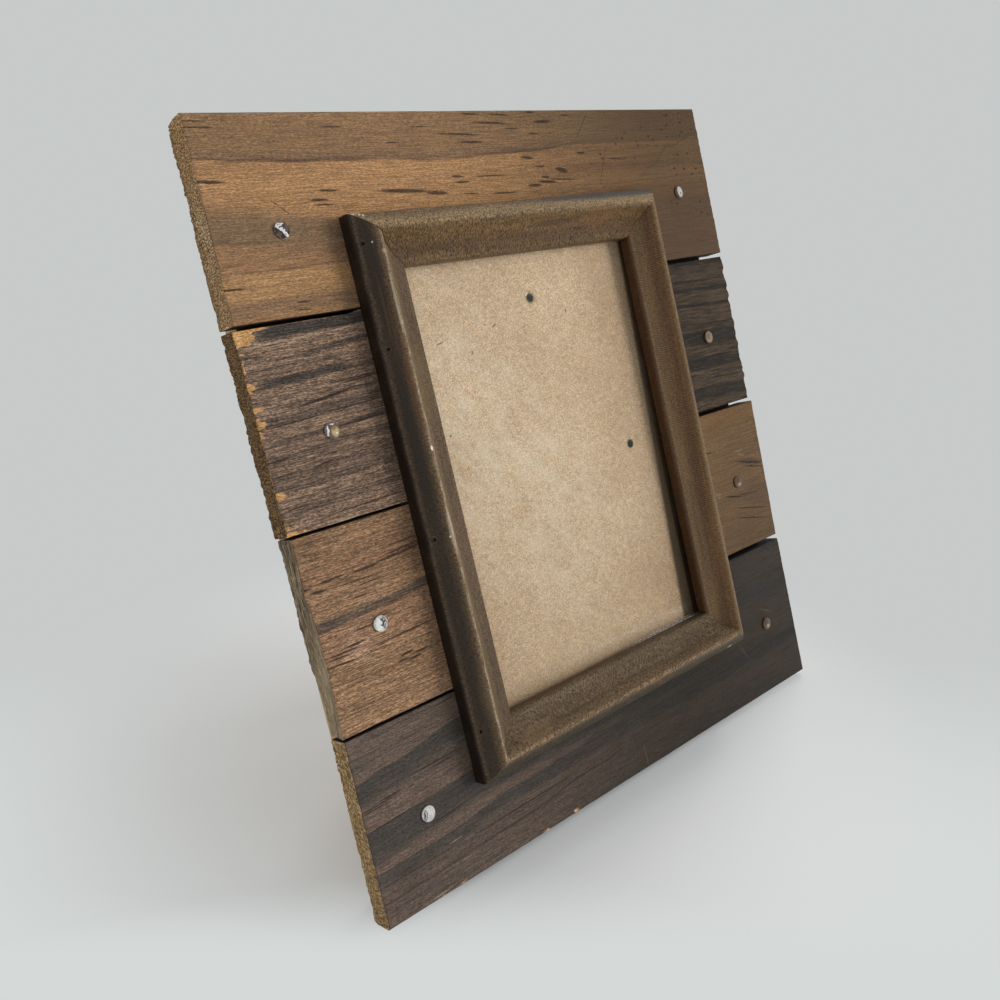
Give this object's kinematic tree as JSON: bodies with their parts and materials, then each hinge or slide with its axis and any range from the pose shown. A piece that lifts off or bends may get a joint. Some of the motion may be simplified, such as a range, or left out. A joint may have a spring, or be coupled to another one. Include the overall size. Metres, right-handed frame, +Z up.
{
  "type": "tabletop picture frame",
  "caption": "Rustic plank picture frame that stands on a folding easel leg, with a mitred moulding, glass, a backboard held by bent tabs, and ring hangers behind.",
  "frame": {"origin": "on the table, under the middle of the object's box", "axes": "+Z up; +X to the right as the picture is seen; the picture faces -Y and the leg stands behind, towards +Y"},
  "size_m": [0.256, 0.1184, 0.2636],
  "materials": {
    "top_wood": "weathered brown stain, matt, dark grain streaks",
    "upper_wood": "charcoal-brown stain, matt, raw chips on the left arris",
    "lower_wood": "mid-brown stain, matt",
    "bottom_wood": "very dark brown stain, matt",
    "batten_wood": "planed, unfinished",
    "moulding_wood": "olive-brown stain, rubbed pale along the ridge",
    "nail_steel": "bright, hammered",
    "dark_steel": "dark, oxidised",
    "sheet_steel": "zinc plated",
    "plated_steel": "thin yellowish plating",
    "fibreboard": "plain brown fibreboard",
    "glass": "clear"
  },
  "bodies": {
    "frame": {"bottom_plank": "bottom_wood", "lower_plank_left": "lower_wood", "lower_plank_right": "lower_wood", "upper_plank_left": "upper_wood", "upper_plank_right": "upper_wood", "top_plank": "top_wood", "batten_left": "batten_wood", "batten_right": "batten_wood", "plank_nails": "nail_steel", "moulding_bottom": "moulding_wood", "moulding_right": "moulding_wood", "moulding_top": "moulding_wood", "moulding_left": "moulding_wood", "moulding_brads": "dark_steel", "glass": "glass", "backboard": "fibreboard", "tab_tangs": "sheet_steel", "top_hanger_strap": "plated_steel", "top_hanger_rivet": "dark_steel", "side_hanger_strap": "plated_steel", "side_hanger_rivet": "dark_steel", "leg_bracket": "sheet_steel", "bracket_rivets": "sheet_steel", "leg_pin": "sheet_steel"},
    "leg": {"leg_leaf": "sheet_steel", "leg_rivets": "sheet_steel", "easel_leg": "fibreboard"},
    "top_ring": {"top_hanger_ring": "plated_steel"},
    "side_ring": {"side_hanger_ring": "plated_steel"},
    "tab_upper_left_leaf": {"tab_upper_left": "sheet_steel"},
    "tab_lower_left_leaf": {"tab_lower_left": "sheet_steel"},
    "tab_upper_right_leaf": {"tab_upper_right": "sheet_steel"},
    "tab_lower_right_leaf": {"tab_lower_right": "sheet_steel"}
  },
  "joints": [
    {"name": "leg_fold", "type": "hinge", "parent": "frame", "child": "leg", "pos_m": [0, 0.01025, 0.16717], "axis": [-1, 0, 0], "range_deg": [0, 35]},
    {"name": "top_ring_swing", "type": "hinge", "parent": "frame", "child": "top_ring", "pos_m": [0.0025, 0.01818, 0.1979], "axis": [1, 0, 0], "range_deg": [-11.5, 160]},
    {"name": "side_ring_swing", "type": "hinge", "parent": "frame", "child": "side_ring", "pos_m": [0.0475, -0.00709, 0.12771], "axis": [0, 0.3387, 0.9409], "range_deg": [-90, 81.5]},
    {"name": "tab_upper_left_bend", "type": "hinge", "parent": "frame", "child": "tab_upper_left_leaf", "pos_m": [-0.0645, 0.01103, 0.18145], "axis": [0, 0.3387, 0.9409], "range_deg": [0, 80]},
    {"name": "tab_lower_left_bend", "type": "hinge", "parent": "frame", "child": "tab_lower_left_leaf", "pos_m": [-0.0645, -0.02623, 0.07795], "axis": [0, 0.3387, 0.9409], "range_deg": [0, 80]},
    {"name": "tab_upper_right_bend", "type": "hinge", "parent": "frame", "child": "tab_upper_right_leaf", "pos_m": [0.0645, 0.01103, 0.18145], "axis": [0, -0.3387, -0.9409], "range_deg": [0, 80]},
    {"name": "tab_lower_right_bend", "type": "hinge", "parent": "frame", "child": "tab_lower_right_leaf", "pos_m": [0.0645, -0.02623, 0.07795], "axis": [0, -0.3387, -0.9409], "range_deg": [0, 80]}
  ]
}
